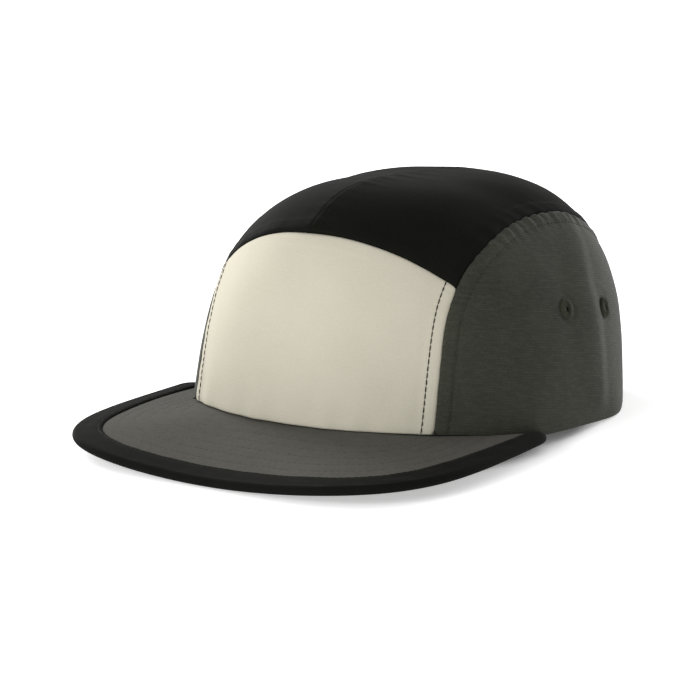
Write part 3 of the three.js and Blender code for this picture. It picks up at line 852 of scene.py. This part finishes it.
def peak_section(turn):
    """The board's inner and outer edge at a turn round the peak, and the way out of the edge."""
    bearing = horn_bearing * turn / horn_turn
    step = 0.004
    rim = crown_point(bearing, 0.0)
    round_way = crown_point(bearing + step, 0.0) - crown_point(bearing - step, 0.0)
    rim_out = np.stack([round_way[..., 1], -round_way[..., 0], 0 * bearing], -1)
    rim = rim - PEAK_TUCK * rim_out / np.linalg.norm(rim_out, axis=-1, keepdims=True)
    rim_middle = rim[..., 2] - PEAK_CLEARANCE - BOARD_WALL / 2
    edge = peak_edge(turn)
    run = peak_edge(turn + step) - peak_edge(turn - step)
    run /= np.linalg.norm(run, axis=-1, keepdims=True)
    share = np.minimum(1.0, np.abs(edge[..., 0]) / (PEAK_WIDTH / 2))
    lift = SIDE_LIFT * (1 - (1 - share ** 2) ** SIDE_LIFT_CURVE)
    edge_middle = BOARD_WALL / 2 + tape_stack + lift
    level = smooth(np.abs(turn), math.radians(HORN_LEVEL_START), horn_turn)
    hidden = smooth(np.abs(turn), math.radians(HORN_TUCK_START), horn_turn)
    out = np.stack([run[..., 1], -run[..., 0], 0 * turn], -1)
    inner = np.stack([rim[..., 0], rim[..., 1], rim_middle - HORN_DROP * hidden], -1)
    outer = np.stack([edge[..., 0], edge[..., 1], mix(edge_middle, inner[..., 2], level)], -1)
    return inner, outer - HORN_TUCK * hidden[..., None] * out, out


fine_turn = np.linspace(-horn_turn, horn_turn, 1601)
(peak_turn,) = evenly(peak_section(fine_turn)[1], PEAK_COLUMNS, fine_turn)
peak_inner, peak_outer, peak_out = peak_section(peak_turn)
out_share = np.linspace(0, 1, PEAK_ROWS + 1)[None, :, None]
peak_points = mix(peak_inner[:, None], peak_outer[:, None], out_share)
in_from_edge = lengths_along(peak_points)
in_from_edge = in_from_edge[:, -1:] - in_from_edge
over_edge = (1 - in_from_edge / PEAK_EDGE_ROUND).clip(0, 1)
peak_half = BOARD_WALL / 2 * np.sqrt(np.clip(1 - over_edge ** 2, 0, 1))
peak_half += sum(stitch_groove(in_from_edge, row, *QUILT_GROOVE) for row in QUILT_ROWS)
peak_wave = PEAK_WAVE * waves(peak_points, 34.0, 61) * smooth(in_from_edge, 2.0, 12.0)
up = np.array([0.0, 0.0, 1.0])
peak_upper = peak_points + (peak_wave + peak_half)[..., None] * up
peak_lower = peak_points + (peak_wave - peak_half)[..., None] * up
peak_cloth = shell(
    "peak_cloth", peak_upper[:, ::-1], peak_lower[:, ::-1], peak_points[:, ::-1, :2], mottled_canvas
)
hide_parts("peak")
for number, row in enumerate(QUILT_ROWS, 1):
    path = traced(peak_upper, in_from_edge, row, 1)
    room = in_from_edge[:, 0] > row + QUILT_ENDS
    path = path[np.argmax(room):len(room) - np.argmax(room[::-1])]
    thread = stitches(
        f"peak_quilting_{number}", path, np.broadcast_to(up, path.shape), grey_thread,
        thick=0.32, sink=0.2,
    )


# Peak binding. Black cotton tape folded over the raw edge of the board and its cloth, and sewn
# through near its inner edges. It runs on under the crown's rim at both ends.
TAPE_WIDTH = 11.4
TAPE_SIDE_WIDTH = 8.6
TAPE_NARROWS = (45.0, 85.0)
TAPE_ENDS = (98.0, 103.0)
TAPE_HOLLOW = BOARD_WALL / 2 + 0.05
TAPE_RISE = 0.9 * TAPE_WALL
TAPE_EDGE = 0.75
TAPE_SEWN = 0.16
TAPE_STEPS = 12

# Cotton tape: a plain close weave, black with a little dust in it, so that it looks softly matt
cotton_tape = woven(
    "cotton_tape", 0x0A0A09, 0x131311, patch=16.0, rib=1.0, cross=1.0, rib_depth=0.04,
    rib_tone_and_highlight=0.15, fuzz=0.05, sheen=0.01, gloss=0.05,
)

tape_turn = np.degrees(np.abs(peak_turn))
under_rim = smooth(tape_turn, *TAPE_ENDS)
depth = ((peak_outer - peak_inner) * [1, 1, 0] * peak_out).sum(-1)
tape_width = mix(TAPE_WIDTH, TAPE_SIDE_WIDTH, smooth(tape_turn, *TAPE_NARROWS))
outside_rim = (PEAK_TUCK + 2 * PEAK_CLEARANCE) / depth * (1 - under_rim)
tape_share = np.maximum(outside_rim, 1 - (tape_width - tape_stack) / depth).clip(0.05, 0.97)
tape_line = mix(peak_inner, peak_outer, tape_share[:, None])
tape_run = lengths_along(peak_outer)
flat_shares = np.linspace(0, 1, TAPE_STEPS + 1)
turns = np.linspace(math.pi / 2, -math.pi / 2, 2 * TAPE_STEPS + 1)
tape_skin, tape_back, tape_across = [], [], []
for side in (1, -1):
    flats = flat_shares if side > 0 else flat_shares[::-1]
    if side < 0:
        for angle in turns[1:-1]:
            swell = 0.05 * waves(np.stack([tape_run, 0 * tape_run], -1), 30.0, 70)
            out_by = (TAPE_HOLLOW + TAPE_WALL) * math.cos(angle) + 0.1
            high = (TAPE_HOLLOW + TAPE_RISE) * math.sin(angle)
            tape_skin.append(peak_outer + peak_out * (out_by + swell)[:, None] + up * high)
            back_by = TAPE_HOLLOW * math.cos(angle) * 0.5 + 0.05
            tape_back.append(peak_outer + peak_out * back_by + up * TAPE_HOLLOW * math.sin(angle))
            tape_across.append(tape_across[-1] + 0.35)
    for share in flats:
        base = mix(tape_line, peak_outer, share)
        in_by = (1 - share) * np.linalg.norm(peak_outer - tape_line, axis=1)
        edge_drop = TAPE_EDGE * np.exp(-((share * 9.0 / 0.8) ** 1.5))
        crease = 0.08 * waves(np.stack([tape_run, 3 * in_by], -1), 14.0, 71 + side)
        sewn = TAPE_SEWN * math.exp(-(((share - 0.17) / 0.09) ** 2))
        high = TAPE_HOLLOW + TAPE_RISE - edge_drop + crease - sewn
        tape_skin.append(base + up * (side * high)[:, None])
        tape_back.append(base + up * side * TAPE_HOLLOW)
        tape_across.append((tape_across[-1] if tape_across else 0.0) + 0.8)
tape_skin = np.swapaxes(np.array(tape_skin), 0, 1)
tape_back = np.swapaxes(np.array(tape_back), 0, 1)
tape_uv = np.stack(np.broadcast_arrays(tape_run[:, None], np.array(tape_across)[None, :]), -1)
binding = shell(
    "peak_tape", tape_skin[:, ::-1], tape_back[:, ::-1], tape_uv[:, ::-1], cotton_tape
)
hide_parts("peak_binding")
sewn_row = tape_skin[4:-4, 2]
thread = stitches(
    "tape_stitches", sewn_row, np.broadcast_to(up, sewn_row.shape), black_thread,
    thick=0.36, sink=0.14,
)


# Sweatband. A doubled cotton tape sewn round the inside of the rim, open at the back where the
# strap crosses the arch.
BAND_HEIGHT = 30.0
BAND_WALL = 1.2
BAND_GAP = 0.5
BAND_INSET = 0.4
BAND_TO_STRAP = 0.03
BAND_COLUMNS = 220
BAND_ROWS = 22
STRAP_OVERLAP = 12.0


def pitch_at_height(bearing, height):
    low, high = np.zeros_like(bearing), np.full_like(bearing, math.pi / 2)
    for _ in range(44):
        middle = (low + high) / 2
        below = crown_point(bearing, middle)[..., 2] < height
        low, high = np.where(below, middle, low), np.where(below, high, middle)
    return (low + high) / 2


def band_shell(name, bearings, lows, highs, rows, depth, wall, lift, material):
    """A band round the inside of the crown, so far in from its skin."""
    share = np.linspace(0, 1, rows + 1)[None, :]
    bearing = np.broadcast_to(bearings[:, None], (len(bearings), rows + 1))
    height = mix(lows[:, None], highs[:, None], share)
    points = crown_point(bearing, pitch_at_height(bearing, height))
    points[..., 2] = height
    normal = grid_normals(points)
    run = lengths_along(np.swapaxes(points, 0, 1)).T
    rise = lengths_along(points)
    puff = lift(run, rise, rise[:, -1:])
    outer = points - normal * depth
    inner = points - normal * (depth + wall + puff)[..., None]
    return shell(name, outer, inner, np.stack([run, rise], -1), material)


strap_bearings = np.radians(np.linspace(100, 180, 3201))
strap_x = crown_point(strap_bearings, 0.0)[:, 0]
strap_end = np.interp(-(ARCH_WIDTH / 2 + STRAP_OVERLAP), -strap_x, strap_bearings)
band_end = strap_end - BAND_TO_STRAP
band_bearings = np.linspace(-band_end, band_end, BAND_COLUMNS + 1)


def band_puff(run, rise, top):
    edge = np.minimum(rise, top - rise)
    soft = 0.25 * waves(np.stack([run, rise], -1), 26.0, 81) * smooth(edge, 0.5, 6.0)
    return soft - 0.5 * np.exp(-(edge ** 1.5)) + stitch_groove(top - rise, 3.0, 0.2, 0.7)


lows = rim_height(band_bearings) + BAND_INSET
band = band_shell(
    "band_cloth", band_bearings, lows, lows + BAND_HEIGHT - 2 * BAND_INSET, BAND_ROWS,
    CLOTH_WALL + BAND_GAP, BAND_WALL, band_puff, cotton_tape,
)
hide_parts("sweatband")


# Strap and slide. Flat woven webbing crosses the opening behind, through a plain moulded slide that
# takes up its length.
STRAP_HEIGHT = 20.0
STRAP_WALL = 1.5
STRAP_DEPTH = 2.1
STRAP_LIFT = 3.0
STRAP_YARN = 3.3
STRAP_COLUMNS = 120
STRAP_ROWS = 20
SLIDE_LENGTH = 12.0
SLIDE_RAIL = 2.2
SLIDE_FACE = 1.3
SLIDE_GAP = 0.3
SLIDE_ROUND = 0.45

# Nylon webbing: thick yarns packed flat, so a coarse level rib shows on its slightly shiny face
webbing = woven(
    "webbing", 0x10100E, 0x1E1E1A, patch=9.0, rib=1.1, cross=1.6, rib_depth=0.12, fuzz=0.04,
    roughness=0.8,
)


def strap_puff(run, rise, top):
    edge = np.minimum(rise, top - rise)
    return 0.06 * np.sin(rise * 2 * math.pi / STRAP_YARN) - 0.35 * np.exp(-((edge / 0.7) ** 1.5))


strap_span = np.linspace(strap_end, 2 * math.pi - strap_end, STRAP_COLUMNS + 1)
flat = np.full_like(strap_span, STRAP_LIFT)
strap = band_shell(
    "strap_webbing", strap_span, flat, flat + STRAP_HEIGHT, STRAP_ROWS, STRAP_DEPTH, STRAP_WALL,
    strap_puff, webbing,
)
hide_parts("back_strap")

# Moulded nylon: a fine matt texture from the mould, with a soft sheen on rounded edges
moulded_nylon = woven(
    "moulded_nylon", 0x131313, 0x1B1B1A, patch=8.0, fuzz=0.02, roughness=0.5, sheen=0.0, gloss=0.4
)

slide_low, slide_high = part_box("strap_slide")
slide_middle = (slide_low + slide_high) / 2
strap_edges = np.array([STRAP_LIFT, STRAP_LIFT + STRAP_HEIGHT])
strap_pitches = pitch_at_height(np.full(2, math.pi), strap_edges)
strap_back = crown_point(math.pi, strap_pitches)[:, 1]
slide_lean = math.atan2(strap_back[1] - strap_back[0], STRAP_HEIGHT)
slide_mesh = bpy.data.meshes.new("slide_frame")
maker = bmesh.new()
inner_half = (STRAP_HEIGHT / 2 + SLIDE_GAP) * MM
outer_half = inner_half + SLIDE_RAIL * MM
inner_deep = (STRAP_WALL / 2 + SLIDE_GAP) * MM
outer_deep = inner_deep + SLIDE_FACE * MM
loops = []
for x in (-SLIDE_LENGTH / 2 * MM, SLIDE_LENGTH / 2 * MM):
    for half_height, half_depth in ((outer_half, outer_deep), (inner_half, inner_deep)):
        loops.append([
            maker.verts.new((x, sign_y * half_depth, sign_z * half_height))
            for sign_y, sign_z in ((-1, -1), (1, -1), (1, 1), (-1, 1))
        ])
for k in range(4):
    n = (k + 1) % 4
    maker.faces.new((loops[0][k], loops[0][n], loops[2][n], loops[2][k]))
    maker.faces.new((loops[1][n], loops[1][k], loops[3][k], loops[3][n]))
    maker.faces.new((loops[0][n], loops[0][k], loops[1][k], loops[1][n]))
    maker.faces.new((loops[2][k], loops[2][n], loops[3][n], loops[3][k]))
bmesh.ops.recalc_face_normals(maker, faces=maker.faces)
bmesh.ops.bevel(
    maker, geom=list(maker.edges), offset=SLIDE_ROUND * MM, segments=3, affect="EDGES"
)
maker.transform(Matrix.Rotation(-slide_lean, 4, "X"))
maker.transform(Matrix.Translation(slide_middle))
maker.to_mesh(slide_mesh)
maker.free()
slide_mesh.uv_layers.new(name="cloth")
slide_mesh.materials.append(moulded_nylon)
slide_mesh.shade_smooth()
slide = bpy.data.objects.new("slide_frame", slide_mesh)
bpy.context.scene.collection.objects.link(slide)
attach(slide, "root")
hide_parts("strap_slide")


# Table and light. A white card runs out on all sides. It glows faintly all over, so that it stays
# white, and glows much less under the middle of the cap and just past its rim: a painted shadow.
# A large soft light stands on the left a little behind, one in front and one low behind, and white
# surroundings fill the rest. Lights and the card's size are in metres.
CARD_SIZE = 60.0
CARD_LEVEL = -0.15
CARD_GLOW = 0.45
CARD_GLOW_IN_PAINTED_SHADOW = 0.08
PAINTED_SHADOW_FADES = (0.96, 1.09)
LIGHTS_MEET = Vector((0.0, 0.0, 0.05))
LIGHTS = {
    "left_light": {"place": (-1.55, 0.6, 0.75), "size": 0.9, "power": 29.0},
    "front_light": {"place": (-0.45, -1.85, 0.75), "size": 1.0, "power": 22.0},
    "back_light": {"place": (0.35, 1.8, 0.4), "size": 0.8, "power": 15.0},
}
SURROUNDINGS = 0.6

sheet_mesh = bpy.data.meshes.new("white_sheet")
reach = CARD_SIZE / 2
corners = [(-reach, -reach, 0), (reach, -reach, 0), (reach, reach, 0), (-reach, reach, 0)]
sheet_mesh.from_pydata(corners, [], [(0, 1, 2, 3)])

# White card: a matt uncoated face that throws light back evenly and glows faintly, less under the
# cap, where the dimmer glow is a painted shadow
white_card = bpy.data.materials.new("white_card")
white_card.use_nodes = True
card_tree = white_card.node_tree
card_place = add_node(card_tree, "ShaderNodeTexCoord").outputs["Object"]
card_scale = (2 / (CROWN_WIDTH * MM), 2 / (CROWN_LENGTH * MM), 0.0)
# The glow drops under the middle of the cap and just past its rim: a painted shadow there.
in_crowns = add_node(
    card_tree, "ShaderNodeMapping", {"Scale": card_scale}, {"Vector": card_place}
).outputs["Vector"]
from_middle = add_node(
    card_tree, "ShaderNodeVectorMath", {"operation": "LENGTH"}, {0: in_crowns}
).outputs["Value"]
glow_with_painted_shadow = add_node(
    card_tree, "ShaderNodeMapRange",
    {"interpolation_type": "SMOOTHSTEP", "From Min": PAINTED_SHADOW_FADES[0],
     "From Max": PAINTED_SHADOW_FADES[1], "To Min": CARD_GLOW_IN_PAINTED_SHADOW, "To Max": CARD_GLOW},
    {"Value": from_middle},
).outputs["Result"]
card_shader = card_tree.nodes["Principled BSDF"]
card_shader.inputs["Base Color"].default_value = linear(0xFAFAFA)
card_shader.inputs["Roughness"].default_value = 0.9
card_shader.inputs["Specular IOR Level"].default_value = 0.1
card_shader.inputs["Emission Color"].default_value = (1.0, 1.0, 1.0, 1.0)
card_tree.links.new(glow_with_painted_shadow, card_shader.inputs["Emission Strength"])
sheet_mesh.materials.append(white_card)
white_sheet = bpy.data.objects.new("white_sheet", sheet_mesh)
white_sheet.location.z = CARD_LEVEL * MM
bpy.context.scene.collection.objects.link(white_sheet)

for name, light in LIGHTS.items():
    light_data = bpy.data.lights.new(name, "AREA")
    light_data.shape = "DISK"
    light_data.size = light["size"]
    light_data.energy = light["power"]
    lamp = bpy.data.objects.new(name, light_data)
    lamp.location = light["place"]
    aim = LIGHTS_MEET - lamp.location
    lamp.rotation_euler = aim.to_track_quat("-Z", "Y").to_euler()
    bpy.context.scene.collection.objects.link(lamp)

world = bpy.data.worlds.new("white_surroundings")
bpy.context.scene.world = world
world.use_nodes = True
background = world.node_tree.nodes["Background"]
background.inputs["Color"].default_value = (1.0, 1.0, 1.0, 1.0)
background.inputs["Strength"].default_value = SURROUNDINGS
bpy.context.scene.view_settings.view_transform = "Standard"
